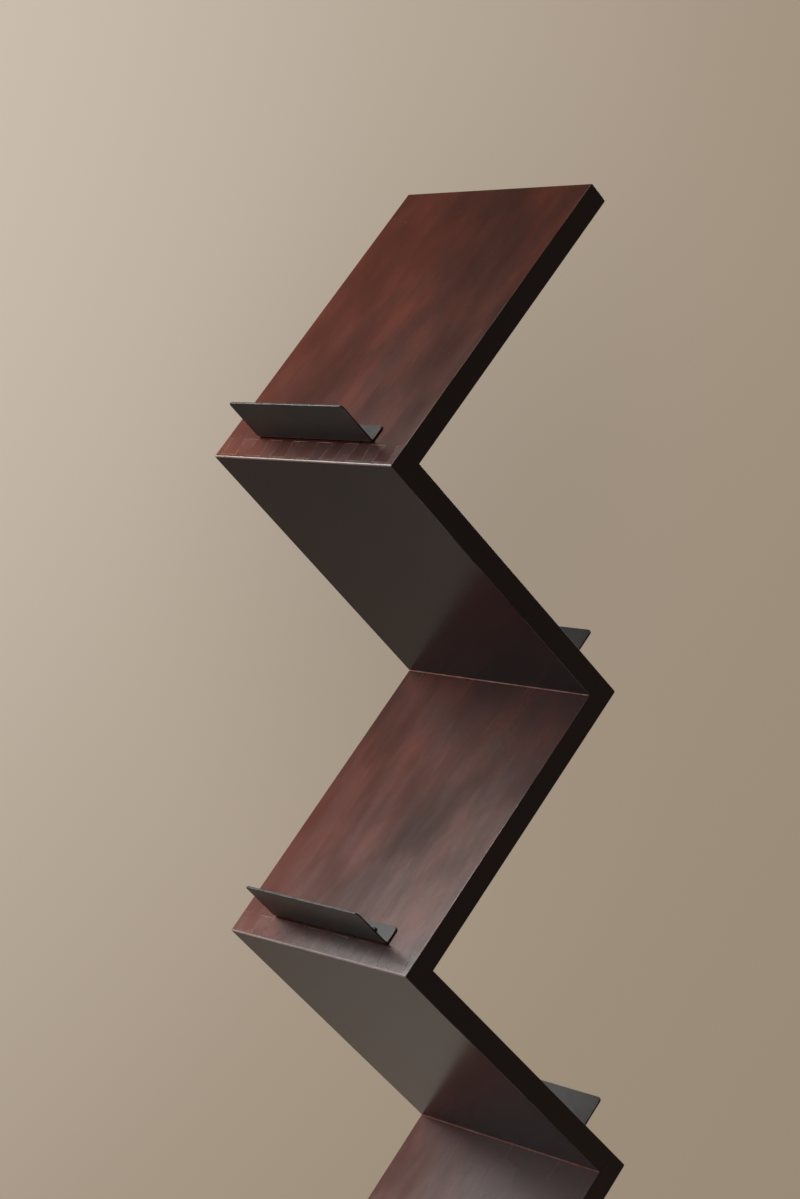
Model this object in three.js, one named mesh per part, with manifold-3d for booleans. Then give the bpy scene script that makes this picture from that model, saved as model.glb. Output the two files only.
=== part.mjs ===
// Zigzag bookshelf: sloping boards dovetailed end to end, standing on a base board.
// Each board has a bent-steel book stop near its lower end, held by two screws.
// Millimetres, +Z up. The origin is on the floor under the middle of the shelf.
// X runs across the zigzag. Y runs through its depth, and -Y is the front.

import * as THREE from "three";
import { mergeVertices } from "three/addons/utils/BufferGeometryUtils.js";
import Module from "manifold-3d";

const wasm = await Module();
wasm.setup();

// Boards
const boardCount = 7;
const boardDepth = 280; // front edge to back edge
const boardThickness = 24;
const cornerSpan = 336; // along a board, from the middle of one corner to the next
const edgeRound = 1; // on the front and back edges
const cornerRound = 2; // on the outer corners and the free top end, over edgeRound

// Half-blind dovetails
const tailCount = 7;
const tailRootShare = 0.434; // a tail's width at the shoulder, as a share of the spacing
const tailEndShare = 0.59; // and at its end
const lap = 4; // wood left over the ends of the tails

// Book stops
const stopWidth = 180;
const stopSheet = 2; // thickness of the steel
const lipHeight = 50;
const flangeLength = 20;
const stopSetback = 26.5; // from the board's outer corner to the lip
const bendRadius = 1; // inside the bend
const stopCorner = 4.5; // radius of the free corners of lip and flange

// Screws through the flange
const screwEndInset = 27; // from the ends of the stop
const screwInset = 10.5; // from the lip's face
const screwShank = 3.5; // diameter
const screwLength = 14; // below the head
const screwHead = 6.5; // diameter
const screwHeadHeight = 2.2;

// Base board
const baseMargin = 24; // past the outer corners of the zigzag, left and right
const baseThickness = 24;
const baseCorner = 6; // radius of the upright corners
const baseRound = 2; // on the top and bottom edges
const housingDepth = 8; // of the slot that holds the last board's foot

// Screws up through the base
const baseScrewCount = 3;
const baseScrewSpacing = 80;
const baseScrewInset = 7; // from the foot's under face
const baseScrewShank = 5; // diameter
const baseScrewHead = 10; // diameter
const baseScrewLength = 36; // over all
const baseScrewSink = 0.6; // of the head below the underside

// Foot pads
const padDiameter = 30;
const padThickness = 3;
const padInset = 32; // from the base's edges to the pad's centre
const padRound = 0.8; // on the edge that meets the floor

// Fits
const seatGap = 0.3; // between pieces that touch
const overrun = 5; // of a cut past the face that it starts from

// Steps of the round stretches
const roundSteps = 3;
const screwSteps = 16;
const padSteps = 32;

// Places that follow from the sizes
const slopeShare = Math.SQRT1_2; // rise, and run, per length: neighbours meet square
const cornerRise = cornerSpan * slopeShare; // from one corner to the next, down and across
const halfBoard = boardThickness / 2;
const halfDepth = boardDepth / 2;
const cornerReach = boardThickness * slopeShare; // of a corner's point out from its middle
const baseWidth = cornerRise + 2 * (cornerReach + baseMargin);
const baseTop = padThickness + baseThickness;
const tailSpacing = boardDepth / tailCount;
const tailLength = boardThickness - lap;
const lipFace = cornerSpan + halfBoard - stopSetback; // along a board, the lip's lower face
const stopSeat = halfBoard + seatGap; // the flange's underside, over the middle of the board
const screwSeat = stopSeat + stopSheet + seatGap; // the underside of the screw's head
const screwX = lipFace - screwInset;
const screwY = stopWidth / 2 - screwEndInset;
const footReach = housingDepth / slopeShare; // of the last board past its corner
const footSide = boardCount % 2 === 1 ? -1 : 1;
const footUnder = cornerRise / 2 + housingDepth - cornerReach; // its under face, from the middle
const baseScrewX = footSide * (footUnder + baseScrewInset);
const baseScrewSeat = padThickness + baseScrewSink;

// Finishes
const stainedWood = new THREE.MeshStandardMaterial({ color: 0x4d2019, roughness: 0.3 });
const blackSteel = new THREE.MeshStandardMaterial({ color: 0x17181b, roughness: 0.45, metalness: 0.4 });
const darkScrew = new THREE.MeshStandardMaterial({ color: 0x1d1c1c, roughness: 0.4, metalness: 0.8 });
const greyFelt = new THREE.MeshStandardMaterial({ color: 0x3a3632, roughness: 1 });

// A closed outline through corners of [u, v, radius], each rounded by its own radius.
function roundedOutline(corners) {
  const points = corners.map(([u, v]) => new THREE.Vector2(u, v));
  const shape = new THREE.Shape();
  corners.forEach(([, , radius], i) => {
    const corner = points[i];
    const back = points.at(i - 1).clone().sub(corner).normalize();
    const ahead = points[(i + 1) % points.length].clone().sub(corner).normalize();
    const half = Math.acos(back.dot(ahead)) / 2;
    const start = corner.clone().addScaledVector(back, radius / Math.tan(half));
    const end = corner.clone().addScaledVector(ahead, radius / Math.tan(half));
    if (i === 0) shape.moveTo(start.x, start.y);
    else shape.lineTo(start.x, start.y);
    if (radius === 0) return;
    const inward = back.clone().add(ahead).normalize();
    const centre = corner.clone().addScaledVector(inward, radius / Math.sin(half));
    const from = start.clone().sub(centre).angle();
    const to = end.clone().sub(centre).angle();
    shape.absarc(centre.x, centre.y, radius, from, to, back.cross(ahead) > 0);
  });
  shape.closePath();
  return shape;
}

// An outline in X and Y, given its height from one Z to another, its long edges rounded.
function upright(shape, low, high, round = 0) {
  const geometry = new THREE.ExtrudeGeometry(shape, {
    depth: high - low - 2 * round,
    curveSegments: roundSteps,
    bevelEnabled: round > 0,
    bevelThickness: round,
    bevelSize: round,
    bevelOffset: -round,
    bevelSegments: roundSteps,
  });
  return geometry.translate(0, 0, low + round);
}

// An outline in X and Z, given its width along Y about the middle.
function acrossDepth(shape, width, round = 0) {
  return upright(shape, -width / 2, width / 2, round).rotateX(Math.PI / 2);
}

// An outline in Y and Z, given its length from one X to another.
function alongBoard(shape, start, end) {
  return upright(shape, start, end).rotateX(Math.PI / 2).rotateZ(Math.PI / 2);
}

// A round bar along Z.
function roundBar(diameter, low, high) {
  const bar = new THREE.CylinderGeometry(diameter / 2, diameter / 2, high - low, screwSteps);
  return bar.rotateX(Math.PI / 2).translate(0, 0, (low + high) / 2);
}

// A turned piece about Z, from a profile of [radius, z].
function turned(profile, steps) {
  const points = profile.map(([radius, z]) => new THREE.Vector2(radius, z));
  return new THREE.LatheGeometry(points, steps).rotateX(Math.PI / 2);
}

// A closed geometry as a solid that can be joined and cut.
function solidOf(geometry) {
  const bare = geometry.clone();
  bare.deleteAttribute("normal");
  bare.deleteAttribute("uv");
  const merged = mergeVertices(bare);
  return new wasm.Manifold(
    new wasm.Mesh({
      numProp: 3,
      vertProperties: merged.attributes.position.array,
      triVerts: new Uint32Array(merged.index.array),
    }),
  );
}

function geometryOf(solid) {
  const { vertProperties, triVerts } = solid.getMesh();
  const geometry = new THREE.BufferGeometry();
  geometry.setAttribute("position", new THREE.BufferAttribute(vertProperties, 3));
  geometry.setIndex(new THREE.BufferAttribute(triVerts, 1));
  const faceted = geometry.toNonIndexed();
  faceted.computeVertexNormals();
  return faceted;
}

// A solid cut by geometries.
function cut(solid, cutters) {
  return cutters.reduce((left, cutter) => left.subtract(solidOf(cutter)), solid);
}

function namedMesh(name, geometry, material) {
  const mesh = new THREE.Mesh(geometry, material);
  mesh.name = name;
  return mesh;
}

const runsLeft = (number) => number % 2 === 1;

// A board's frame: X runs down the board from the middle of its upper corner, and Z out of its
// upper face. Boards that run down to the left have theirs turned about the upright.
function boardFrame(number) {
  const frame = new THREE.Group();
  const side = runsLeft(number) ? 1 : -1;
  const cornersBelow = boardCount - number + 1;
  frame.position.set((side * cornerRise) / 2, 0, baseTop + cornersBelow * cornerRise);
  frame.rotation.set(0, Math.PI / 4, runsLeft(number) ? Math.PI : 0, "ZYX");
  frame.updateMatrix();
  return frame;
}

const lastFrame = boardFrame(boardCount);

// Half the width of a tail, at a depth below the face that it is let into.
function tailHalf(depth) {
  const share = tailRootShare + ((tailEndShare - tailRootShare) * depth) / tailLength;
  return (share * tailSpacing) / 2;
}

const tailMiddles = Array.from({ length: tailCount }, (_, i) => (i + 0.5) * tailSpacing - halfDepth);

// A board's stretch of the finished zigzag, with a stub of each neighbour. All its edges were
// rounded after assembly, so the rounding runs on from board to board.
function stretchOfZigzag(number) {
  const freeEnd = [
    [-halfBoard, -halfBoard, cornerRound],
    [-halfBoard, halfBoard, cornerRound],
  ];
  const upperCorner = [
    [-halfBoard, -halfBoard, cornerRound],
    [-halfBoard, halfBoard + boardThickness, 0],
    [halfBoard, halfBoard + boardThickness, 0],
    [halfBoard, halfBoard, 0],
  ];
  const lowerCorner = [
    [cornerSpan + halfBoard, halfBoard, cornerRound],
    [cornerSpan + halfBoard, -halfBoard - boardThickness, 0],
    [cornerSpan - halfBoard, -halfBoard - boardThickness, 0],
    [cornerSpan - halfBoard, -halfBoard, 0],
  ];
  const foot = [
    [cornerSpan + halfBoard + footReach, halfBoard, 0],
    [cornerSpan - halfBoard + footReach, -halfBoard, 0],
  ];
  const upper = number === 1 ? freeEnd : upperCorner;
  const lower = number === boardCount ? foot : lowerCorner;
  return acrossDepth(roundedOutline([...upper, ...lower]), boardDepth, edgeRound);
}

// A board's face, with its tails at the lower end. The last board's foot has none.
function boardFace(number) {
  const side = halfDepth + overrun;
  const start = -halfBoard - overrun;
  const shoulder = cornerSpan - halfBoard - seatGap;
  const tailEnd = cornerSpan - halfBoard + tailLength;
  const footEnd = cornerSpan + halfBoard + footReach + overrun;
  const tails = tailMiddles.flatMap((middle) => [
    [shoulder, middle - tailHalf(-seatGap)],
    [tailEnd, middle - tailHalf(tailLength)],
    [tailEnd, middle + tailHalf(tailLength)],
    [shoulder, middle + tailHalf(-seatGap)],
  ]);
  const plain = [
    [footEnd, -side],
    [footEnd, side],
  ];
  const tailed = [[shoulder, -side], ...tails, [shoulder, side]];
  const corners = [[start, side], [start, -side], ...(number === boardCount ? plain : tailed)];
  return new THREE.Shape(corners.map(([x, y]) => new THREE.Vector2(x, y)));
}

// The sockets for the board above, cut from the upper face and open at the upper end.
function socketCutters() {
  const floorDepth = tailLength + seatGap;
  const deep = tailHalf(floorDepth) + seatGap;
  const shallow = tailHalf(-overrun) + seatGap;
  return tailMiddles.map((middle) => {
    const section = roundedOutline([
      [middle - deep, halfBoard - floorDepth, 0],
      [middle + deep, halfBoard - floorDepth, 0],
      [middle + shallow, halfBoard + overrun, 0],
      [middle - shallow, halfBoard + overrun, 0],
    ]);
    return alongBoard(section, -halfBoard - overrun, halfBoard + seatGap);
  });
}

// Holes for the stop's screws, in a board's frame.
function stopHoles(low, high) {
  const hole = roundBar(screwShank + 2 * seatGap, low, high);
  return [-1, 1].map((side) => hole.clone().translate(screwX, side * screwY, 0));
}

// Places of the screws through the base, along Y.
const baseScrewPlaces = Array.from(
  { length: baseScrewCount },
  (_, i) => (i - (baseScrewCount - 1) / 2) * baseScrewSpacing,
);

function board(number) {
  const blank = solidOf(upright(boardFace(number), -halfBoard, halfBoard));
  let wood = solidOf(stretchOfZigzag(number)).intersect(blank);
  if (number > 1) wood = cut(wood, socketCutters());
  wood = cut(wood, stopHoles(screwSeat - screwLength - seatGap, halfBoard + overrun));
  if (number === boardCount) {
    const intoBoard = lastFrame.matrix.clone().invert();
    const hole = roundBar(baseScrewShank + 2 * seatGap, 0, baseScrewSeat + baseScrewLength + seatGap);
    const holes = baseScrewPlaces.map((y) => hole.clone().translate(baseScrewX, y, 0));
    wood = cut(wood, holes.map((placed) => placed.applyMatrix4(intoBoard)));
  }
  return namedMesh("board_" + number, geometryOf(wood), stainedWood);
}

// An angle of sheet steel: its flange lies on the board and its lip stands square to it.
function bookStop(number) {
  const side = stopWidth / 2;
  const top = stopSeat + lipHeight;
  const flangeEnd = lipFace - flangeLength;
  const angle = roundedOutline([
    [flangeEnd, stopSeat, 0],
    [lipFace, stopSeat, bendRadius + stopSheet],
    [lipFace, top, 0],
    [lipFace - stopSheet, top, 0],
    [lipFace - stopSheet, stopSeat + stopSheet, bendRadius],
    [flangeEnd, stopSeat + stopSheet, 0],
  ]);
  const flangePlan = roundedOutline([
    [flangeEnd, -side, stopCorner],
    [lipFace + overrun, -side, 0],
    [lipFace + overrun, side, 0],
    [flangeEnd, side, stopCorner],
  ]);
  const lipPlan = roundedOutline([
    [-side, stopSeat - overrun, 0],
    [side, stopSeat - overrun, 0],
    [side, top, stopCorner],
    [-side, top, stopCorner],
  ]);
  const bent = solidOf(acrossDepth(angle, stopWidth + 2 * overrun))
    .intersect(solidOf(upright(flangePlan, stopSeat - overrun, top + overrun)))
    .intersect(solidOf(alongBoard(lipPlan, flangeEnd - overrun, lipFace + overrun)));
  const steel = cut(bent, stopHoles(stopSeat - overrun, screwSeat));
  return namedMesh("book_stop_" + number, geometryOf(steel), blackSteel);
}

// A pan-head screw. Z is 0 under its head, and its point is down.
const panScrew = turned(
  [
    [0, -screwLength],
    [screwShank / 2, screwShank / 2 - screwLength],
    [screwShank / 2, 0],
    [screwHead / 2, 0],
    [screwHead / 2, screwHeadHeight / 2],
    [screwHead / 2 - screwHeadHeight / 4, screwHeadHeight * 0.85],
    [screwHead / 2 - screwHeadHeight / 2, screwHeadHeight],
    [0, screwHeadHeight],
  ],
  screwSteps,
);

function stopScrew(number, end) {
  const screw = namedMesh("stop_screw_" + number + "_" + end, panScrew, darkScrew);
  const towardsFront = runsLeft(number) ? 1 : -1;
  const side = end === "front" ? towardsFront : -towardsFront;
  screw.position.set(screwX, side * screwY, screwSeat);
  return screw;
}

// A countersunk screw with its head down. Z is 0 at the head's flat.
const countersunkScrew = turned(
  [
    [0, 0],
    [baseScrewHead / 2, 0],
    [baseScrewShank / 2, (baseScrewHead - baseScrewShank) / 2],
    [baseScrewShank / 2, baseScrewLength - baseScrewShank],
    [0, baseScrewLength],
  ],
  screwSteps,
);

function baseScrew(i) {
  const screw = namedMesh("base_screw_" + (i + 1), countersunkScrew, darkScrew);
  screw.position.set(baseScrewX, baseScrewPlaces[i], baseScrewSeat);
  return screw;
}

// The base's slot for the last board's foot, in that board's frame.
function footSlot() {
  const half = halfBoard + seatGap;
  const floor = cornerSpan + (housingDepth + seatGap) / slopeShare;
  const section = roundedOutline([
    [cornerSpan - boardThickness, -half, 0],
    [floor - half, -half, 0],
    [floor + half, half, 0],
    [cornerSpan - boardThickness, half, 0],
  ]);
  return acrossDepth(section, boardDepth + 2 * overrun);
}

// A countersunk hole up through the base.
function baseHole(y) {
  const shank = baseScrewShank / 2 + seatGap;
  const head = baseScrewHead / 2 + seatGap;
  const sink = baseScrewSeat - seatGap;
  const profile = [
    [0, 0],
    [head, 0],
    [head, sink],
    [shank, sink + head - shank],
    [shank, baseTop],
    [0, baseTop],
  ];
  return turned(profile, screwSteps).translate(baseScrewX, y, 0);
}

function baseBoard() {
  const outline = roundedOutline([
    [-baseWidth / 2, -halfDepth, baseCorner],
    [baseWidth / 2, -halfDepth, baseCorner],
    [baseWidth / 2, halfDepth, baseCorner],
    [-baseWidth / 2, halfDepth, baseCorner],
  ]);
  const blank = solidOf(upright(outline, padThickness, baseTop, baseRound));
  const slot = footSlot().applyMatrix4(lastFrame.matrix);
  const wood = cut(blank, [slot, ...baseScrewPlaces.map(baseHole)]);
  return namedMesh("base_board", geometryOf(wood), stainedWood);
}

function footPad(i) {
  const radius = padDiameter / 2;
  const felt = turned(
    [
      [0, 0],
      [radius - padRound, 0],
      [radius, padRound],
      [radius, padThickness],
      [0, padThickness],
    ],
    padSteps,
  );
  const pad = namedMesh("foot_pad_" + (i + 1), felt, greyFelt);
  const across = i % 2 === 0 ? -1 : 1;
  const deep = i < 2 ? -1 : 1;
  pad.position.set(across * (baseWidth / 2 - padInset), deep * (halfDepth - padInset), 0);
  return pad;
}

const bookshelf = new THREE.Group();
for (let number = 1; number <= boardCount; number += 1) {
  const frame = number === boardCount ? lastFrame : boardFrame(number);
  frame.add(board(number), bookStop(number), stopScrew(number, "front"), stopScrew(number, "back"));
  bookshelf.add(frame);
}
bookshelf.add(baseBoard());
baseScrewPlaces.forEach((_, i) => bookshelf.add(baseScrew(i)));
for (let i = 0; i < 4; i += 1) bookshelf.add(footPad(i));

export default bookshelf;
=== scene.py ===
import math
import random

import bmesh
import bpy
from mathutils import Matrix, Vector, noise


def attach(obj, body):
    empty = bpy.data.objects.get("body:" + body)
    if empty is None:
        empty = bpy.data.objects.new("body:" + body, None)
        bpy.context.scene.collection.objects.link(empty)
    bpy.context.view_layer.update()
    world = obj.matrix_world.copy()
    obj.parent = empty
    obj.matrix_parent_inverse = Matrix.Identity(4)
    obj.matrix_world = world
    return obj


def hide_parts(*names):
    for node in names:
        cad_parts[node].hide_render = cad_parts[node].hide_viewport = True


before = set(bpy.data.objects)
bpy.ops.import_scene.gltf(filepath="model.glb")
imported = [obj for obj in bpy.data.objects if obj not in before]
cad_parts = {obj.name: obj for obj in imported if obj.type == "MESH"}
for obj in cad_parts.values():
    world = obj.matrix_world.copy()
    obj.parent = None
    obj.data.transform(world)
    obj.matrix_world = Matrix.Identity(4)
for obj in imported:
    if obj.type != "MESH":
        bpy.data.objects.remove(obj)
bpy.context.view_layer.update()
scene = bpy.context.scene
mm = 0.001  # the dictionaries below are in millimetres, like the drawing


# Camera

camera = {
    "place": (-1814.2, -2265.4, 1631.2),
    "turn": (83.653, 1.599, -38.579),  # degrees
    "lens": 89.36,
    "sensor": 36,
    "clip": (50, 60000),
}


def makeCamera():
    data = bpy.data.cameras.new("camera")
    data.sensor_fit = "AUTO"
    data.sensor_width = camera["sensor"]
    data.lens = camera["lens"]
    data.clip_start, data.clip_end = [length * mm for length in camera["clip"]]
    eye = bpy.data.objects.new("camera", data)
    eye.location = Vector(camera["place"]) * mm
    eye.rotation_euler = [math.radians(angle) for angle in camera["turn"]]
    scene.collection.objects.link(eye)
    scene.camera = eye


# Node helpers

usualSpread = (0.3, 0.7)  # where nearly all of a cloud's values lie


def addNode(tree, kind, inputs=None, **settings):
    node = tree.nodes.new(kind)
    for name, value in settings.items():
        setattr(node, name, value)
    for name, value in (inputs or {}).items():
        if isinstance(value, bpy.types.NodeSocket):
            tree.links.new(value, node.inputs[name])
        else:
            node.inputs[name].default_value = value
    return node


def maths(tree, operation, first, second=0, third=0, clamp=False):
    node = addNode(tree, "ShaderNodeMath", {0: first, 1: second, 2: third},
                   operation=operation, use_clamp=clamp)
    return node.outputs[0]


def product(tree, first, *others):
    for other in others:
        first = maths(tree, "MULTIPLY", first, other)
    return first


def lengthOf(tree, vector):
    return addNode(tree, "ShaderNodeVectorMath", {0: vector}, operation="LENGTH").outputs["Value"]


def axesOf(tree, vector):
    return addNode(tree, "ShaderNodeSeparateXYZ", {0: vector}).outputs


def cloud(tree, vector, perMetre, detail=4, roughness=0.55, distortion=0):
    stretched = addNode(tree, "ShaderNodeVectorMath", {0: vector, 1: perMetre}, operation="MULTIPLY")
    node = addNode(tree, "ShaderNodeTexNoise", {
        "Vector": stretched.outputs[0], "Scale": 1, "Detail": detail,
        "Roughness": roughness, "Distortion": distortion,
    })
    return node.outputs["Fac"]


def spread(tree, value, low, high, toLow=0, toHigh=1):
    node = addNode(tree, "ShaderNodeMapRange", {
        "Value": value, "From Min": low, "From Max": high, "To Min": toLow, "To Max": toHigh,
    }, interpolation_type="SMOOTHSTEP")
    return node.outputs[0]


def within(tree, length, limits, toLow=0, toHigh=1):
    low, high = limits
    return spread(tree, length, low * mm, high * mm, toLow, toHigh)


def ramp(tree, value, stops):
    node = addNode(tree, "ShaderNodeValToRGB", {"Fac": value})
    bar = node.color_ramp
    while len(bar.elements) < len(stops):
        bar.elements.new(0.5)
    for element, (place, colour) in zip(bar.elements, stops):
        element.position = place
        element.color = (*colour, 1)
    return node.outputs[0]


def mixColours(tree, share, first, second, blend="MIX"):
    node = tree.nodes.new("ShaderNodeMix")
    node.data_type = "RGBA"
    node.blend_type = blend
    sockets = (node.inputs[0], node.inputs[6], node.inputs[7])  # share and the two colours
    for socket, value in zip(sockets, (share, first, second)):
        if isinstance(value, bpy.types.NodeSocket):
            tree.links.new(value, socket)
        elif isinstance(value, (int, float)):
            socket.default_value = value
        else:
            socket.default_value = (*value, 1)
    return node.outputs[2]


def newMaterial(name, **sockets):
    material = bpy.data.materials.new(name)
    material.use_nodes = True
    tree = material.node_tree
    shader = tree.nodes["Principled BSDF"]
    for socket, value in sockets.items():
        shader.inputs[socket.replace("_", " ")].default_value = value
    place = tree.nodes.new("ShaderNodeTexCoord").outputs["Object"]
    return material, tree, shader, place


def setInputs(tree, shader, **sockets):
    for socket, value in sockets.items():
        tree.links.new(value, shader.inputs[socket.replace("_", " ")])


def addBump(tree, shader, height, distance):
    bump = addNode(tree, "ShaderNodeBump", {
        "Height": height, "Distance": distance * mm, "Strength": 1,
    })
    setInputs(tree, shader, Normal=bump.outputs[0])


# Mesh helpers

meshLimits = {
    "merge": 0.002,  # between vertices that are one
    "touch": 0.02,  # from a line or face that a vertex lies on
    "flat": 0.5,  # degrees, between faces that are one
    "smooth": 35,
    "sharp": 60,
}


def shadeByAngle(bm, degrees=meshLimits["smooth"]):
    limit = math.radians(degrees)
    for face in bm.faces:
        face.smooth = True
    for edge in bm.edges:
        edge.smooth = len(edge.link_faces) == 2 and edge.calc_face_angle() < limit


def cleanNormals(bm):
    bmesh.ops.remove_doubles(bm, verts=bm.verts, dist=meshLimits["merge"] * mm)
    bmesh.ops.recalc_face_normals(bm, faces=bm.faces)


def sharpEdges(bm, degrees=meshLimits["sharp"], wanted=lambda edge: True):
    limit = math.radians(degrees)
    return [e for e in bm.edges
            if len(e.link_faces) == 2 and e.calc_face_angle() > limit and wanted(e)]


def roundOff(bm, geom, width, segments, affect="EDGES"):
    made = bmesh.ops.bevel(bm, geom=geom, offset=width, offset_type="OFFSET", segments=segments,
                           profile=0.5, affect=affect, clamp_overlap=affect == "EDGES", material=-1)
    return [face for face in made["faces"] if face.is_valid]


def mergedNode(name, flat=True):
    bm = bmesh.new()
    bm.from_mesh(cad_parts[name].data)
    bmesh.ops.remove_doubles(bm, verts=bm.verts, dist=meshLimits["merge"] * mm)
    if flat:
        bmesh.ops.dissolve_limit(bm, angle_limit=math.radians(meshLimits["flat"]),
                                 verts=bm.verts, edges=bm.edges)
    return bm


def objectOf(bm, name):
    mesh = bpy.data.meshes.new(name)
    bm.to_mesh(mesh)
    bm.free()
    made = bpy.data.objects.new(name, mesh)
    scene.collection.objects.link(made)
    return made


def finishPiece(bm, name, materials, nodes=()):
    piece = objectOf(bm, name)
    for material in materials:
        piece.data.materials.append(material)
    weighted = piece.modifiers.new("weighted", "WEIGHTED_NORMAL")
    weighted.keep_sharp = True
    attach(piece, "root")
    if nodes:
        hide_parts(*nodes)


# Zigzag: where each board lies

zigzag = {
    "boards": 7,
    "depth": 280,
    "thickness": 24,
    "span": 336,  # between the middles of two corners
    "footHeight": 27,  # middle of the last corner above the floor
    "edgeRound": 1,
}
halfBoard = zigzag["thickness"] / 2
halfDepth = zigzag["depth"] / 2


def cornerMiddle(index):
    rise = zigzag["span"] * math.sqrt(0.5)
    side = 1 if index % 2 == 0 else -1
    height = zigzag["footHeight"] + (zigzag["boards"] - index) * rise
    return Vector((side * rise / 2, 0, height)) * mm


def boardPlace(number):
    start = cornerMiddle(number - 1)
    along = (cornerMiddle(number) - start).normalized()
    up = Vector((-along.z, 0, along.x)) * (1 if along.x > 0 else -1)
    across = up.cross(along)
    place = Matrix((along, across, up)).transposed().to_4x4()
    place.translation = start
    return place


# Stained wood. X runs down a board from its upper corner, Y to the back, and Z out of its
# upper face. A number before a colon is that of a board that differs from the usual one.

wood = {
    "dark": (0.070, 0.0140, 0.0080),
    "middle": (0.122, 0.0215, 0.0102),
    "red": (0.235, 0.0370, 0.0150),
    "depths": (0.40, 0.60, 0.85),  # where dark, middle and red lie
    "redder": {1: 0.005, 3: 0.065, 5: 0.065},  # what shifts a board's stain towards red
    "usualRed": 0.025,
    "streakShare": 0.10,
    "staveShare": 0.06,
    "staveWidth": 47,
    "staveShift": 9,  # staves that a board's first one is moved by, at most
    "shift": 20,  # metres that its other patterns are moved by, at most
    "patterns": {  # per metre along, across and through the board, detail, roughness, distortion
        "clouds": ((9, 15, 15), 3, 0.46),
        "blots": ((20, 34, 34), 2, 0.46, 0.3),
        "streaks": ((12, 70, 70), 3, 0.5),
        "fuzz": ((90, 640, 640), 3, 0.7),
    },
    "grey": {"colour": (0.076, 0.0205, 0.0122), "blots": (0.38, 0.70), "share": 0.6},
    "grain": ((0.30, (0.88, 0.87, 0.87)), (0.70, (1.12, 1.12, 1.12))),
    # painted shade: the sides' colour is multiplied darker and cooler than the faces', as they look in shade
    "paintedEdgeShade": (0.19, 0.27, 0.90),
    "paintedEdgeColour": (0.020, 0.008, 0.006),
    "edgeReach": (138.4, 139.6),  # where an arris turns into the side and takes its painted shade
    "gloss": {1: 0.39},
    "finishes": {
        "face": {"Specular_IOR_Level": 0.5, "IOR": 1.5},
        "edge": {"Specular_IOR_Level": 0.4, "Roughness": 0.40},
        "worn": {"Specular_IOR_Level": 0.5, "Roughness": 0.38},
        "corner": {"Specular_IOR_Level": 1.0, "Roughness": 0.32},
    },
    "roughness": (0.235, 0.285),
    "roughPatches": (0.55, 0.95),
    "roughStreaks": 0.5,
    "underside": (-11.5, -10.5),  # it has no marks, and smaller waves
    "waves": ((22, 40, 40), 2, 0.5),
    "waveHeights": (0.3, 0.1),  # what the rest has more than the underside, and the underside's
    "fuzzHeights": (0.014, 0.006),
    "bumpDepth": 0.6,
}


def stain(tree, pattern, across, number, firstStave):
    stave = maths(tree, "MULTIPLY_ADD", across, 1 / (wood["staveWidth"] * mm), firstStave)
    stave = maths(tree, "FLOOR", stave)
    tone = addNode(tree, "ShaderNodeTexWhiteNoise", {"W": stave}, noise_dimensions="1D")
    depth = maths(tree, "MULTIPLY_ADD", tone.outputs["Value"], wood["staveShare"], pattern["clouds"])
    depth = maths(tree, "MULTIPLY_ADD", pattern["streaks"], wood["streakShare"], depth)
    depth = maths(tree, "ADD", depth, wood["redder"].get(number, wood["usualRed"]))
    colours = (wood["dark"], wood["middle"], wood["red"])
    colour = ramp(tree, depth, list(zip(wood["depths"], colours)))
    grey = wood["grey"]
    share = spread(tree, pattern["blots"], *grey["blots"], 0, grey["share"])
    colour = mixColours(tree, share, colour, grey["colour"])
    return mixColours(tree, 1, colour, ramp(tree, pattern["fuzz"], wood["grain"]), "MULTIPLY")


# painted shade: arrises and glue darken into the sides' colour near the sides
def paintEdgeShade(tree, colour, across):
    side = within(tree, maths(tree, "ABSOLUTE", across), wood["edgeReach"])
    return mixColours(tree, side, colour, wood["paintedEdgeColour"])


# Tones over the stain, from the first to the last; some are painted light, sheen and shade,
# as marked. Each grows from nothing between two places along the board and two across it.

tones = {
    # Redder towards the back and, on most boards, towards the lower end; on board 3 the red fades towards
    # the upper end as painted shade under the board above.
    "farRed": {"along": (30, 300), "across": (-40, 150), "usual": (0.8, 1.1),
               "shares": {3: (0.2, 2.3), 5: (1.3, 2.2)}},  # at the upper and the lower end
    "pins": (-10, -11.5),
    "rubbed": {"colour": (0.360, 0.0850, 0.0480), "tails": (312, 345), "above": (10, 11.5),
               "pinShare": 0.8, "across": (-20, 140), "share": 0.8},
    # painted sheen: a pale grey wash over each joint towards the front stands in for the gloss seen there
    "pale": {"colour": (0.45, 0.42, 0.42), "tails": (316, 330), "across": (100, -50),
             "usual": 0.12, "shares": {1: 0, 3: 0.31, 5: 0.2}},
    "veils": (
        # darkens board 1's joint towards the front
        {"colour": wood["dark"], "along": (316, 330), "across": (100, 20), "shares": {1: 0.45}},
        # painted shade: board 3's upper end darkens towards the back, under the board above
        {"colour": wood["dark"], "along": (130, 40), "across": (-30, 60), "shares": {3: 0.32}},
        # painted light: board 5's upper end is lightened towards the front, where it lies in the board
        # above's shade
        {"colour": (0.52, 0.37, 0.38), "along": (260, 100), "across": (140, -60),
         "shares": {5: 0.42}},
        # painted sheen: a cool pale wash at the upper end's front stands in for the cool gloss in the inner
        # corners
        {"colour": (0.110, 0.100, 0.122), "along": (140, 20), "across": (120, -60),
         "shares": {number: 0.14 for number in range(2, zigzag["boards"] + 1)}},
    ),
    # painted shade: the undersides are mixed towards a dark cool colour
    "under": {"colour": (0.016, 0.0150, 0.032), "height": (-11, -11.5), "share": 0.85},
}


def reddenFarSide(tree, colour, place, across, clouds, number):
    red = tones["farRed"]
    along = within(tree, place["X"], red["along"], *red["shares"].get(number, red["usual"]))
    share = product(tree, within(tree, across, red["across"]), clouds, along)
    return mixColours(tree, share, colour, wood["red"])


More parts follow.
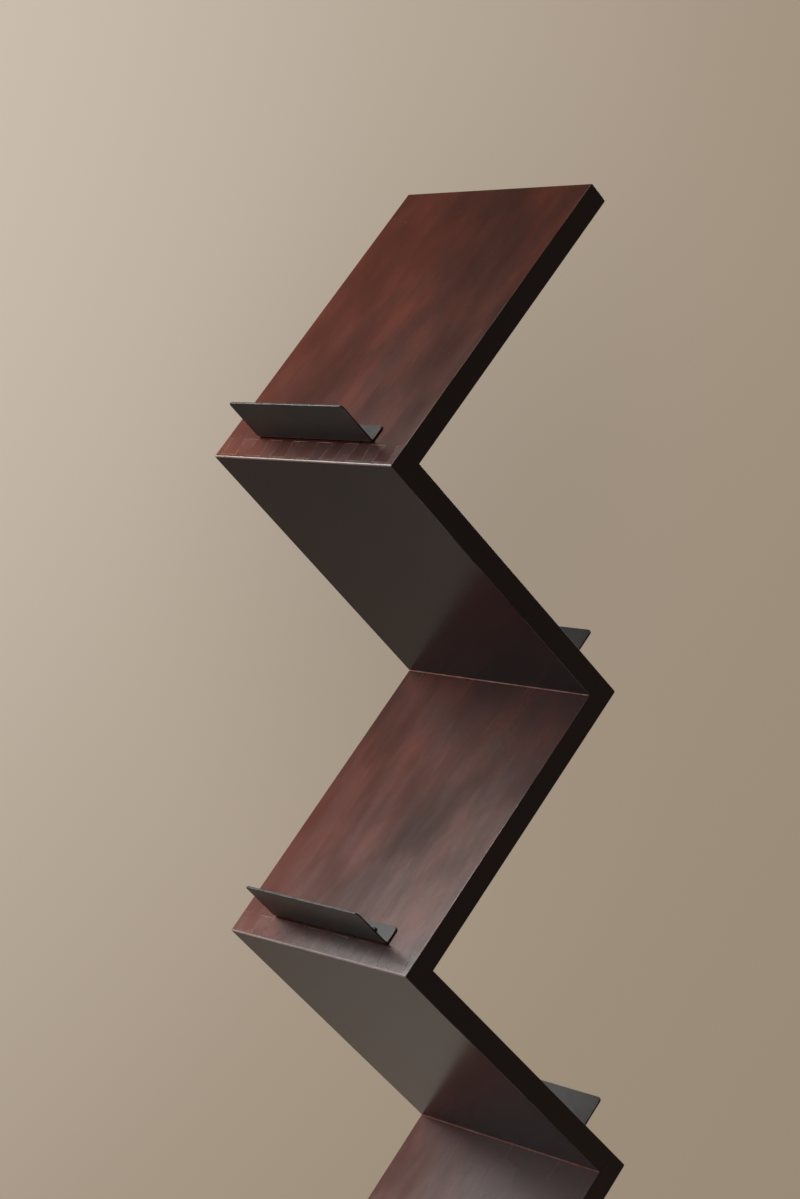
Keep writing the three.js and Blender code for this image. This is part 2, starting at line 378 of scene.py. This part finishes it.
def toneJoints(tree, colour, place, across, number):
    rubbed, pale = tones["rubbed"], tones["pale"]
    tails = product(tree, within(tree, place["X"], rubbed["tails"]),
                    within(tree, place["Z"], rubbed["above"]))
    pins = within(tree, place["X"], tones["pins"], 0, rubbed["pinShare"])
    share = product(tree, maths(tree, "MAXIMUM", tails, pins),
                    within(tree, across, rubbed["across"], 0, rubbed["share"]))
    colour = mixColours(tree, share, colour, rubbed["colour"])
    # the pale wash here is painted sheen on the joint's front part
    below, above = [pale["shares"].get(joint, pale["usual"]) for joint in (number, number - 1)]
    tails = within(tree, place["X"], pale["tails"], 0, below)
    pins = within(tree, place["X"], tones["pins"], 0, above)
    share = product(tree, maths(tree, "MAXIMUM", tails, pins), within(tree, across, pale["across"]))
    return mixColours(tree, share, colour, pale["colour"])


def layPaintedLightAndShade(tree, colour, place, across, number):
    for veil in tones["veils"]:
        if number in veil["shares"]:
            share = product(tree, within(tree, place["X"], veil["along"], 0, veil["shares"][number]),
                            within(tree, across, veil["across"]))
            colour = mixColours(tree, share, colour, veil["colour"])
    # painted shade: the undersides are mixed towards a dark cool colour
    under = tones["under"]
    share = within(tree, place["Z"], under["height"], 0, under["share"])
    return mixColours(tree, share, colour, under["colour"])


# Wear: marks and specks on the faces, rubbed arrises, and polished corners whose pale colour is partly a
# painted highlight

wear = {
    "pale": (0.74, 0.48, 0.41),
    "marks": ((26, 240, 240), 2, 0.5, 0.3),
    "marksSpread": (0.56, 0.80),
    "marksClouds": (0.42, 0.60),
    "marksShare": 0.11,
    "marksColour": (0.260, 0.0700, 0.0400),
    "specksPerMetre": 46,
    "specksSize": (0.035, 0.018),  # shares of the way to the next speck
    "specksStreaks": (0.5, 0.62),
    "specksShare": 0.5,
    "frontArris": (-138.7, -139.2),
    "arrisBlots": (0.36, 0.58, 0.05, 0.40),  # from and to, and the shares there
    "rubbedBlots": (0.34, 0.60, 0.78, 1),
    # the corners' pale colour is partly a painted highlight along the outer corners; board 4's paler one is
    # painted highlight on the corner below it
    "corner": (0.42, 0.29, 0.265),
    "paintedHighlightCorners": {4: (0.86, 0.66, 0.61)},
}


def wearFace(tree, colour, pattern, moved, across, above):
    marks = spread(tree, cloud(tree, moved, *wear["marks"]), *wear["marksSpread"], 0, wear["marksShare"])
    marks = product(tree, marks, spread(tree, pattern["clouds"], *wear["marksClouds"]), above)
    colour = mixColours(tree, marks, colour, wear["marksColour"])
    dust = addNode(tree, "ShaderNodeTexVoronoi", {
        "Vector": moved, "Scale": wear["specksPerMetre"], "Randomness": 1,
    }).outputs["Distance"]
    streaks = spread(tree, pattern["streaks"], *wear["specksStreaks"], 0, wear["specksShare"])
    specks = product(tree, spread(tree, dust, *wear["specksSize"]), streaks, above)
    colour = mixColours(tree, specks, colour, wear["pale"])
    arris = product(tree, within(tree, across, wear["frontArris"]),
                    spread(tree, pattern["blots"], *wear["arrisBlots"]))
    return mixColours(tree, arris, colour, wear["pale"])


def wearArris(tree, colour, pattern, across, pale):
    rubbed = spread(tree, pattern["blots"], *wear["rubbedBlots"])
    return paintEdgeShade(tree, mixColours(tree, rubbed, colour, pale), across)


def woodMaterial(name, boardAt, number, finish="face", jointed=True):
    luck = random.Random(number)
    looks = dict(wood["finishes"][finish])
    if finish == "face" and number in wood["gloss"]:
        looks["Specular_IOR_Level"] = wood["gloss"][number]
    material, tree, shader, whole = newMaterial(name, **looks)
    back = boardAt.inverted()
    local = addNode(tree, "ShaderNodeMapping", {
        "Vector": whole, "Location": back.translation, "Rotation": back.to_euler(),
    }).outputs[0]
    shift = [luck.uniform(-wood["shift"], wood["shift"]) for _ in range(3)]
    moved = addNode(tree, "ShaderNodeVectorMath", {0: local, 1: shift}).outputs[0]
    pattern = {key: cloud(tree, moved, *values) for key, values in wood["patterns"].items()}
    place = axesOf(tree, local)
    across = axesOf(tree, whole)["Y"]
    above = within(tree, place["Z"], wood["underside"]) if jointed else 1

    colour = stain(tree, pattern, across, number, luck.uniform(0, wood["staveShift"]))
    if jointed and finish != "edge":
        colour = reddenFarSide(tree, colour, place, across, pattern["clouds"], number)
        colour = toneJoints(tree, colour, place, across, number)
        colour = layPaintedLightAndShade(tree, colour, place, across, number)
    if finish == "face":
        colour = wearFace(tree, colour, pattern, moved, across, above)
        patches = maths(tree, "MULTIPLY_ADD", product(tree, pattern["streaks"], above),
                        wood["roughStreaks"], pattern["clouds"])
        rough = spread(tree, patches, *wood["roughPatches"], *wood["roughness"])
        setInputs(tree, shader, Roughness=rough)
    elif finish == "edge":
        colour = mixColours(tree, 1, colour, wood["paintedEdgeShade"], "MULTIPLY")
    elif finish == "worn":
        colour = wearArris(tree, colour, pattern, across, wear["pale"])
    else:
        paintedCornerHighlight = wear["paintedHighlightCorners"].get(number, wear["corner"])
        colour = wearArris(tree, colour, pattern, across, paintedCornerHighlight)
    setInputs(tree, shader, Base_Color=colour)
    if finish in ("face", "edge"):
        waves = product(tree, cloud(tree, moved, *wood["waves"]),
                        maths(tree, "MULTIPLY_ADD", above, *wood["waveHeights"]))
        fine = product(tree, pattern["fuzz"],
                       maths(tree, "MULTIPLY_ADD", above, *wood["fuzzHeights"]))
        addBump(tree, shader, maths(tree, "ADD", waves, fine), wood["bumpDepth"])
    return material


# Boards: the drawing's solids with their joint arrises eased and worn

boards = {
    "arris": 0.28,
    "jointSharp": 50,  # degrees
    "upperReach": 26,  # how far from the upper corner's middle joint edges lie
    "lowerReach": 13,  # and before the lower corner's
    "sideNormal": 0.9,  # shares of a normal that make a face side, back or end
    "backNormal": 0.5,
    "endNormal": 0.8,
    "sideReach": 0.1,  # and how far from the side it may lie
    "backReach": 1.2,
    "finishes": {  # material slots, in this order
        "face": "stained_wood",
        "edge": "stained_edge_painted_shade",
        "worn": "worn_arris",
        "corner": "polished_corner_painted_highlight",
    },
}


def onOuterFace(point, place):
    local = place.inverted() @ point
    ends = (abs(local.x - (zigzag["span"] + halfBoard) * mm), abs(local.x + halfBoard * mm))
    flats = (abs(abs(local.z) - halfBoard * mm), abs(abs(local.y) - halfDepth * mm))
    return min(*ends, *flats) < meshLimits["touch"] * mm


def nearJoint(point, place):
    reach = (place.inverted() @ point).x
    return reach < boards["upperReach"] * mm or reach > (zigzag["span"] - boards["lowerReach"]) * mm


def finishOfFace(face):
    y = face.calc_center_median().y
    if abs(face.normal.y) > boards["sideNormal"] and abs(abs(y) - halfDepth * mm) < boards["sideReach"] * mm:
        return "edge"
    if face.normal.y > boards["backNormal"] and y > (halfDepth - boards["backReach"]) * mm:
        return "edge"  # the back arris takes the sides' painted shade
    return "corner" if abs(face.normal.x) > boards["endNormal"] else "face"


def makeBoard(number):
    place = boardPlace(number)
    bm = mergedNode(f"board_{number}")
    joint = sharpEdges(bm, boards["jointSharp"], lambda edge: all(
        onOuterFace(v.co, place) and nearJoint(v.co, place) for v in edge.verts))
    worn = roundOff(bm, joint, boards["arris"] * mm, 1)
    slots = list(boards["finishes"])
    for face in bm.faces:
        face.material_index = slots.index(finishOfFace(face))
    for face in worn:
        face.material_index = slots.index("worn")
    shadeByAngle(bm)
    materials = [woodMaterial(f"{name}_{number}", place, number, finish)
                 for finish, name in boards["finishes"].items()]
    finishPiece(bm, f"zigzag_board_{number}", materials, [f"board_{number}"])


# Glue: what fills the joints, and the bead in each inner corner

glue = {
    "line": ((0.38, (0.050, 0.022, 0.017)), (0.50, (0.27, 0.12, 0.090)), (0.62, (0.85, 0.54, 0.45))),
    "tone": ((90, 60, 90), 4, 0.6),
    "grit": ((800, 800, 800), 2),
    "gritDepth": 0.2,
    "roughness": 0.3,
    "inset": 0.05,
    "reach": (323.7, 344.5),  # along the board, from the shoulder past the tails' ends
    "roundSteps": 8,
}

bead = {
    "tones": ((0.38, (0.70, 0.150, 0.080)), (0.74, (0.84, 0.56, 0.47))),
    "radius": 1.0,
    "thick": {4: 1.4},
    "endGap": 1.5,
    "sides": 10,
    "steps": 90,
    "swell": (0.8, 0.35),  # usual share of the radius, and how much it varies
    "swellPerMetre": 60,
    "swellShift": 7.1,  # from bead to bead
    "smooth": 60,  # degrees
}


def glueMaterial(name, colours):
    material, tree, shader, whole = newMaterial(name, Roughness=glue["roughness"])
    colour = ramp(tree, cloud(tree, whole, *glue["tone"]), colours)
    # the glue darkens near the sides, painted shade
    setInputs(tree, shader, Base_Color=paintEdgeShade(tree, colour, axesOf(tree, whole)["Y"]))
    addBump(tree, shader, cloud(tree, whole, *glue["grit"]), glue["gritDepth"])
    return material


def cutFrom(block, others):
    for other in others:
        cutter = block.modifiers.new("cut", "BOOLEAN")
        cutter.operation = "DIFFERENCE"
        cutter.solver = "MANIFOLD"
        cutter.object = other
    cut = block.evaluated_get(bpy.context.evaluated_depsgraph_get())
    bm = bmesh.new()
    bm.from_mesh(bpy.data.meshes.new_from_object(cut))
    for used in (block, *others):
        bpy.data.objects.remove(used)
    return bm


def makeGlueLine(number, material):
    inset = glue["inset"]
    limits = (
        glue["reach"],
        (inset - halfDepth, halfDepth - inset),
        (inset - halfBoard, halfBoard - inset),
    )
    bm = bmesh.new()
    bmesh.ops.create_cube(bm, size=1)
    bmesh.ops.scale(bm, vec=[(high - low) * mm for low, high in limits], verts=bm.verts)
    bmesh.ops.translate(bm, vec=[(high + low) / 2 * mm for low, high in limits], verts=bm.verts)
    start, end = glue["reach"]
    long = [e for e in bm.edges if abs(e.verts[0].co.x - e.verts[1].co.x) > (end - start) / 2 * mm]
    roundOff(bm, long, (zigzag["edgeRound"] - inset) * mm, glue["roundSteps"])
    bmesh.ops.transform(bm, matrix=boardPlace(number), verts=bm.verts)
    neighbours = [objectOf(mergedNode(f"board_{n}", flat=False), f"cutter_{n}")
                  for n in (number, number + 1)]
    left = cutFrom(objectOf(bm, "glue_block"), neighbours)
    finishPiece(left, f"glue_line_{number}", [material])


def makeBead(number, material):
    corner = boardPlace(number) @ Vector(((zigzag["span"] - halfBoard) * mm, 0, -halfBoard * mm))
    long = (zigzag["depth"] - 2 * bead["endGap"]) * mm
    bm = bmesh.new()
    ring = bmesh.ops.create_circle(bm, segments=bead["sides"], cap_ends=True,
                                   radius=bead["thick"].get(number, bead["radius"]) * mm)["verts"]
    bmesh.ops.transform(bm, matrix=Matrix.Rotation(math.radians(90), 4, "X"), verts=ring)
    bmesh.ops.translate(bm, vec=(0, -long / 2, 0), verts=ring)
    cap = bm.faces[:]
    for _ in range(bead["steps"]):
        made = bmesh.ops.extrude_face_region(bm, geom=cap)["geom"]
        verts = [g for g in made if isinstance(g, bmesh.types.BMVert)]
        bmesh.ops.translate(bm, vec=(0, long / bead["steps"], 0), verts=verts)
        bmesh.ops.delete(bm, geom=cap, context="FACES_ONLY")
        cap = [g for g in made if isinstance(g, bmesh.types.BMFace)]
    bmesh.ops.contextual_create(bm, geom=[e for e in bm.edges if all(v in ring for v in e.verts)])
    usual, varies = bead["swell"]
    for vert in bm.verts:
        spot = Vector((number * bead["swellShift"], vert.co.y * bead["swellPerMetre"], 0))
        swell = usual + varies * noise.noise(spot)
        vert.co.x *= swell
        vert.co.z *= swell
    cleanNormals(bm)
    bmesh.ops.translate(bm, vec=corner, verts=bm.verts)
    shadeByAngle(bm, bead["smooth"])
    finishPiece(bm, f"glue_bead_{number}", [material])


# Book stops

stop = {
    "width": 180,
    "sheet": 2,
    "bend": 3,  # outside radius
    "bendSteps": 8,
    "flange": (301.5, 321.5),
    "seat": 12.05,
    "lipTop": 62.1,
    "corner": 4.5,
    "cornerSteps": 6,
    "arris": 0.55,
    "arrisSteps": 3,
    "steel": (0.024, 0.027, 0.032),
    "steelDark": (0.015, 0.017, 0.021),
    "tone": ((30, 30, 30), 5, 0.6, 0.4),
    "toneStops": (0.35, 0.62),
    "roughness": (0.31, 0.40),
    "refraction": 1.46,
    "grit": ((1500, 1500, 1500), 2, 0.6),
    "gritDepth": 0.06,
    # the rims' pale grey is partly wear and partly a painted highlight along the sheet's edges
    "rim": (0.34, 0.34, 0.345),
    "rimWearAndHighlight": ((60, 60, 60), 3, 0.6),
    "rimSpread": (0.35, 0.62, 0.25, 1),  # from and to, and the shares of the rim's colour there
    "rimRoughness": 0.27,
    "rimRefraction": 1.5,
}


def steelMaterial():
    material, tree, shader, whole = newMaterial("black_steel", IOR=stop["refraction"])
    tone = cloud(tree, whole, *stop["tone"])
    colours = list(zip(stop["toneStops"], (stop["steelDark"], stop["steel"])))
    setInputs(tree, shader, Base_Color=ramp(tree, tone, colours),
              Roughness=spread(tree, tone, *usualSpread, *stop["roughness"]))
    addBump(tree, shader, cloud(tree, whole, *stop["grit"]), stop["gritDepth"])
    return material


def rubbedRimMaterialWithHighlight():
    material, tree, shader, whole = newMaterial(
        "rubbed_steel_painted_highlight", IOR=stop["rimRefraction"], Roughness=stop["rimRoughness"])
    worn = spread(tree, cloud(tree, whole, *stop["rimWearAndHighlight"]), *stop["rimSpread"])
    setInputs(tree, shader, Base_Color=mixColours(tree, worn, stop["steel"], stop["rim"]))
    return material


def makeStop(number, materials):
    start, end = stop["flange"]
    bendAt = end - stop["bend"]
    bm = bmesh.new()
    bmesh.ops.create_grid(bm, x_segments=1, y_segments=1, size=0.5)
    bmesh.ops.scale(bm, vec=(bendAt - start, stop["width"], 1), verts=bm.verts)
    bmesh.ops.translate(bm, vec=((bendAt + start) / 2, 0, stop["seat"]), verts=bm.verts)
    free = [v for v in bm.verts if v.co.x < (start + bendAt) / 2]
    roundOff(bm, free, stop["corner"], stop["cornerSteps"], "VERTICES")
    bend = [e for e in bm.edges
            if all(abs(v.co.x - bendAt) < meshLimits["touch"] for v in e.verts)]
    centre = (bendAt, 0, stop["seat"] + stop["bend"])
    spun = bmesh.ops.spin(bm, geom=bend + [v for e in bend for v in e.verts], cent=centre,
                          axis=(0, -1, 0), dvec=(0, 0, 0), angle=math.radians(90),
                          steps=stop["bendSteps"], use_merge=False, use_duplicate=False)
    last = [g for g in spun["geom_last"] if isinstance(g, bmesh.types.BMEdge)]
    made = bmesh.ops.extrude_edge_only(bm, edges=last)["geom"]
    lip = [g for g in made if isinstance(g, bmesh.types.BMVert)]
    bmesh.ops.translate(bm, vec=(0, 0, stop["lipTop"] - centre[2]), verts=lip)
    roundOff(bm, lip, stop["corner"], stop["cornerSteps"], "VERTICES")
    bmesh.ops.recalc_face_normals(bm, faces=bm.faces)
    under = next(face for face in bm.faces if abs(face.normal.z) > 0.99)
    if under.normal.z > 0:
        bmesh.ops.reverse_faces(bm, faces=bm.faces)
    bmesh.ops.solidify(bm, geom=bm.faces[:], thickness=stop["sheet"])
    cleanNormals(bm)
    # the rims take the rubbed steel with its painted highlight
    for face in roundOff(bm, sharpEdges(bm), stop["arris"], stop["arrisSteps"]):
        face.material_index = 1
    bmesh.ops.scale(bm, vec=(mm, mm, mm), verts=bm.verts)
    bmesh.ops.transform(bm, matrix=boardPlace(number), verts=bm.verts)
    bmesh.ops.recalc_face_normals(bm, faces=bm.faces)
    shadeByAngle(bm)
    finishPiece(bm, f"stop_sheet_{number}", materials, [f"book_stop_{number}"])


# Screws that hold the stops

screw = {
    "along": 311,
    "across": 63,
    "seat": 14.1,
    "head": 6.5,
    "headHeight": 2.2,
    "domeShares": ((1, 0), (1, 0.25), (0.93, 0.62), (0.76, 0.9), (0.60, 1)),  # of radius and height
    "shank": 3.4,
    "length": 14,
    "taper": 3.5,
    "point": 0.15,
    "recessReach": 1.7,
    "recessWidth": 0.9,
    "recessDepth": 1.3,
    "recessTaper": 0.8,
    "sides": 24,
    "smooth": 40,  # degrees
    "turn": 1.5,  # radians, that a recess is turned by at most
    "tone": ((240, 240, 240), 4, 0.6),
    "tones": ((0.3, (0.03, 0.03, 0.032)), (0.7, (0.085, 0.083, 0.085))),
    "roughness": (0.3, 0.5),
}


def darkScrewMaterial():
    material, tree, shader, whole = newMaterial("dark_screw", Metallic=1.0)
    tone = cloud(tree, whole, *screw["tone"])
    setInputs(tree, shader, Base_Color=ramp(tree, tone, screw["tones"]),
              Roughness=spread(tree, tone, *usualSpread, *screw["roughness"]))
    return material


def crossReach(angle):
    angle %= math.pi / 2
    angle = min(angle, math.pi / 2 - angle)
    half = screw["recessWidth"] / 2
    if math.tan(angle) < half / screw["recessReach"]:
        return screw["recessReach"] / math.cos(angle)
    return half / math.sin(angle)


def pullCap(bm, cap, height, reachAt):
    made = bmesh.ops.extrude_face_region(bm, geom=[cap])["geom"]
    for vert in [g for g in made if isinstance(g, bmesh.types.BMVert)]:
        angle = math.atan2(vert.co.y, vert.co.x)
        reach = reachAt(angle)
        vert.co = (reach * math.cos(angle), reach * math.sin(angle), height)
    return next(g for g in made if isinstance(g, bmesh.types.BMFace))


def screwSteps():
    head, tall, shank = screw["head"] / 2, screw["headHeight"], screw["shank"] / 2
    profile = [(shank, screw["taper"] - screw["length"]), (shank, 0)]
    profile += [(share * head, rise * tall) for share, rise in screw["domeShares"]]
    steps = [(height, lambda angle, reach=radius: reach) for radius, height in profile]
    steps.append((tall, crossReach))
    steps.append((tall - screw["recessDepth"], lambda angle: screw["recessTaper"] * crossReach(angle)))
    return steps


def makeScrew(number, side, material):
    bm = bmesh.new()
    bmesh.ops.create_circle(bm, segments=screw["sides"], radius=screw["point"], cap_ends=True)
    bmesh.ops.translate(bm, vec=(0, 0, -screw["length"]), verts=bm.verts)
    cap = bm.faces[:][0]
    for index, (height, reachAt) in enumerate(screwSteps()):
        above = pullCap(bm, cap, height, reachAt)
        if index:  # the first cap stays as the point
            bmesh.ops.delete(bm, geom=[cap], context="FACES_ONLY")
        cap = above
    bmesh.ops.recalc_face_normals(bm, faces=bm.faces)
    turned = Matrix.Rotation(random.Random(number * 3 + side).uniform(0, screw["turn"]), 4, "Z")
    bmesh.ops.transform(bm, matrix=turned, verts=bm.verts)
    place = boardPlace(number)
    sign = side if place.col[1].y > 0 else -side
    bmesh.ops.translate(bm, vec=(screw["along"], sign * screw["across"], screw["seat"]), verts=bm.verts)
    bmesh.ops.scale(bm, vec=(mm, mm, mm), verts=bm.verts)
    bmesh.ops.transform(bm, matrix=place, verts=bm.verts)
    shadeByAngle(bm, screw["smooth"])
    end = "front" if side < 0 else "back"
    finishPiece(bm, f"pan_screw_{number}_{end}", [material],
                [f"stop_screw_{number}_{end}"])


# Base board and its pads

footBoard = {
    "arris": 0.4,
    "slotSharp": 35,  # degrees
    "slotAbove": 26.5,
    "slotWithin": 150,
    "seed": 21,
    "screws": 3,
}

pad = {
    "diameter": 30,
    "thickness": 3,
    "round": 0.8,
    "roundSteps": 3,
    "sides": 48,
    "places": ((-127.76, -108), (127.76, -108), (-127.76, 108), (127.76, 108)),
    "fibres": ((900, 900, 900), 4, 0.7, 1.5),
    "tones": ((0.3, (0.055, 0.054, 0.055)), (0.75, (0.14, 0.137, 0.135))),
    "fibreDepth": 0.6,
    "roughness": 0.95,
}


def makeFootBoard():
    bm = mergedNode("base_board")
    slotEdges = sharpEdges(bm, footBoard["slotSharp"], lambda edge: all(
        v.co.z > footBoard["slotAbove"] * mm and abs(v.co.x) < footBoard["slotWithin"] * mm
        for v in edge.verts))
    roundOff(bm, slotEdges, footBoard["arris"] * mm, 1)
    shadeByAngle(bm)
    material = woodMaterial("stained_base", Matrix.Identity(4), footBoard["seed"], jointed=False)
    finishPiece(bm, "foot_board", [material], ["base_board"])


def feltMaterial():
    material, tree, shader, whole = newMaterial("grey_felt", Roughness=pad["roughness"])
    fibres = cloud(tree, whole, *pad["fibres"])
    setInputs(tree, shader, Base_Color=ramp(tree, fibres, pad["tones"]))
    addBump(tree, shader, fibres, pad["fibreDepth"])
    return material


def makePad(number, material):
    bm = bmesh.new()
    radius = pad["diameter"] / 2 * mm
    tall = pad["thickness"] * mm
    bmesh.ops.create_cone(bm, cap_ends=True, segments=pad["sides"], radius1=radius, radius2=radius,
                          depth=tall)
    roundOff(bm, sharpEdges(bm), pad["round"] * mm, pad["roundSteps"])
    x, y = pad["places"][number - 1]
    bmesh.ops.translate(bm, vec=(x * mm, y * mm, tall / 2), verts=bm.verts)
    shadeByAngle(bm)
    finishPiece(bm, f"felt_pad_{number}", [material], [f"foot_pad_{number}"])


def darkenBaseScrews(material):
    for number in range(1, footBoard["screws"] + 1):
        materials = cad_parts[f"base_screw_{number}"].data.materials
        materials.clear()
        materials.append(material)


# Room: floor, backdrop colour and lamps. Lengths are in metres from here on, and a direction
# is an azimuth from +Y towards +X and an elevation, in degrees.

room = {
    "floorRadius": 2.3,
    "floorSides": 128,
    "floorFade": (0.80, 2.20),  # from here the floor clears, to there
    "floorColour": (0.78, 0.69, 0.60),
    "floorRoughness": 0.7,
    "floorGlow": (0.085, 0.061, 0.048),  # what the floor adds where it is seen or mirrored
    "glowTowards": (8.9, 10.2),
    "backdrop": (  # cosine from the glow's middle, and the colour there
        (-1.0, (0.200, 0.166, 0.128)),
        (0.30, (0.270, 0.214, 0.158)),
        (0.705, (0.323, 0.252, 0.187)),
        (0.7585, (0.336, 0.266, 0.197)),
        (0.812, (0.385, 0.312, 0.239)),
        (0.866, (0.470, 0.392, 0.313)),
        (0.92, (0.593, 0.505, 0.418)),
    ),
    "ceiling": (0.15, 0.50, 0.34),  # the backdrop dims between these heights, to this share
    "ground": (-0.36, -0.62, 0.39),
    "ambient": (0.030, 0.030, 0.030),
    "shade": {  # soft shade on the backdrop behind the shelf
        "towards": (39.62, -4.69),
        "turn": (83.46, 13.95, -39.98),
        "reach": (0.1196, 0.165, 1),
        "share": 0.134,
    },
    "target": (0, 0, 1.05),
    "lamps": {
        "strip": {"towards": (-33, 44), "distance": 2.05, "size": (0.32, 1.20), "power": 16.3,
                  "colour": (1.0, 0.98, 0.96)},
        "window": {"towards": (-38, 24), "distance": 4.2, "size": (1.70, 1.35), "power": 18,
                   "colour": (1.0, 0.985, 0.97)},
        "fill": {"towards": (-56, 54), "distance": 1.86, "size": (0.88, 0.69), "power": 2.6,
                 "colour": (1.0, 0.975, 0.945)},
        "side": {"towards": (76, 30), "distance": 3.2, "size": (1.60, 1.60), "power": 26,
                 "colour": (1.0, 0.97, 0.94)},
    },
}


def direction(azimuth, elevation):
    a, e = math.radians(azimuth), math.radians(elevation)
    return Vector((math.sin(a) * math.cos(e), math.cos(a) * math.cos(e), math.sin(e)))


def seenOrMirrored(tree):
    path = tree.nodes.new("ShaderNodeLightPath").outputs
    seen = maths(tree, "ADD", path["Is Camera Ray"], path["Is Glossy Ray"])
    return maths(tree, "ADD", seen, path["Is Transmission Ray"], clamp=True)


def makeWorld():
    world = bpy.data.worlds.new("backdrop")
    scene.world = world
    world.use_nodes = True
    tree = world.node_tree
    tree.nodes.clear()
    ray = tree.nodes.new("ShaderNodeTexCoord").outputs["Generated"]
    glow = addNode(tree, "ShaderNodeVectorMath", {
        0: ray, 1: direction(*room["glowTowards"]),
    }, operation="DOT_PRODUCT").outputs["Value"]
    along = maths(tree, "MULTIPLY_ADD", glow, 0.5, 0.5)  # a ramp runs from 0 to 1
    wall = ramp(tree, along, [((cosine + 1) / 2, colour) for cosine, colour in room["backdrop"]])
    shade = room["shade"]
    patch = addNode(tree, "ShaderNodeMapping", {
        "Vector": ray, "Location": direction(*shade["towards"]),
        "Rotation": [math.radians(angle) for angle in shade["turn"]], "Scale": shade["reach"],
    }, vector_type="TEXTURE").outputs[0]
    dimming = [spread(tree, lengthOf(tree, patch), 0, 1, 1 - shade["share"], 1)]
    height = axesOf(tree, ray)["Z"]
    for low, high, share in (room["ceiling"], room["ground"]):
        dimming.append(spread(tree, height, low, high, 1, share))
    for level in dimming:
        grey = addNode(tree, "ShaderNodeCombineXYZ", {0: level, 1: level, 2: level}).outputs[0]
        wall = mixColours(tree, 1, wall, grey, "MULTIPLY")
    colour = mixColours(tree, seenOrMirrored(tree), room["ambient"], wall)
    glowing = addNode(tree, "ShaderNodeBackground", {"Color": colour, "Strength": 1})
    out = tree.nodes.new("ShaderNodeOutputWorld")
    tree.links.new(glowing.outputs[0], out.inputs["Surface"])


def makeFloor():
    bm = bmesh.new()
    bmesh.ops.create_circle(bm, segments=room["floorSides"], radius=room["floorRadius"], cap_ends=True)
    floor = objectOf(bm, "floor")
    material, tree, shader, whole = newMaterial("pale_floor", Roughness=room["floorRoughness"])
    shader.inputs["Base Color"].default_value = (*room["floorColour"], 1)
    shader.inputs["Emission Color"].default_value = (*room["floorGlow"], 1)
    setInputs(tree, shader, Emission_Strength=seenOrMirrored(tree))
    fade = spread(tree, lengthOf(tree, whole), *room["floorFade"])
    clear = tree.nodes.new("ShaderNodeBsdfTransparent")
    mixed = addNode(tree, "ShaderNodeMixShader", {0: fade, 1: shader.outputs[0], 2: clear.outputs[0]})
    tree.links.new(mixed.outputs[0], tree.nodes["Material Output"].inputs["Surface"])
    floor.data.materials.append(material)


def makeLamps():
    for name, lamp in room["lamps"].items():
        data = bpy.data.lights.new(name, "AREA")
        data.shape = "RECTANGLE"
        data.size, data.size_y = lamp["size"]
        data.energy = lamp["power"]
        data.color = lamp["colour"]
        light = bpy.data.objects.new(name, data)
        towards = direction(*lamp["towards"])
        light.location = Vector(room["target"]) + towards * lamp["distance"]
        light.rotation_euler = towards.to_track_quat("Z", "Y").to_euler()
        scene.collection.objects.link(light)


scene.view_settings.view_transform = "Standard"
makeCamera()
makeWorld()
makeFloor()
makeLamps()
print("room and camera ready")

for number in range(1, zigzag["boards"] + 1):
    makeBoard(number)
print("boards dressed")

jointGlue = glueMaterial("joint_glue", glue["line"])
beadGlue = glueMaterial("corner_bead", bead["tones"])
for number in range(1, zigzag["boards"]):
    makeGlueLine(number, jointGlue)
    makeBead(number, beadGlue)
print("joints glued")

steels = [steelMaterial(), rubbedRimMaterialWithHighlight()]
darkScrew = darkScrewMaterial()
for number in range(1, zigzag["boards"] + 1):
    makeStop(number, steels)
    for side in (-1, 1):
        makeScrew(number, side, darkScrew)
print("stops screwed on")

makeFootBoard()
felt = feltMaterial()
for number in range(1, len(pad["places"]) + 1):
    makePad(number, felt)
darkenBaseScrews(darkScrew)
print("foot finished")
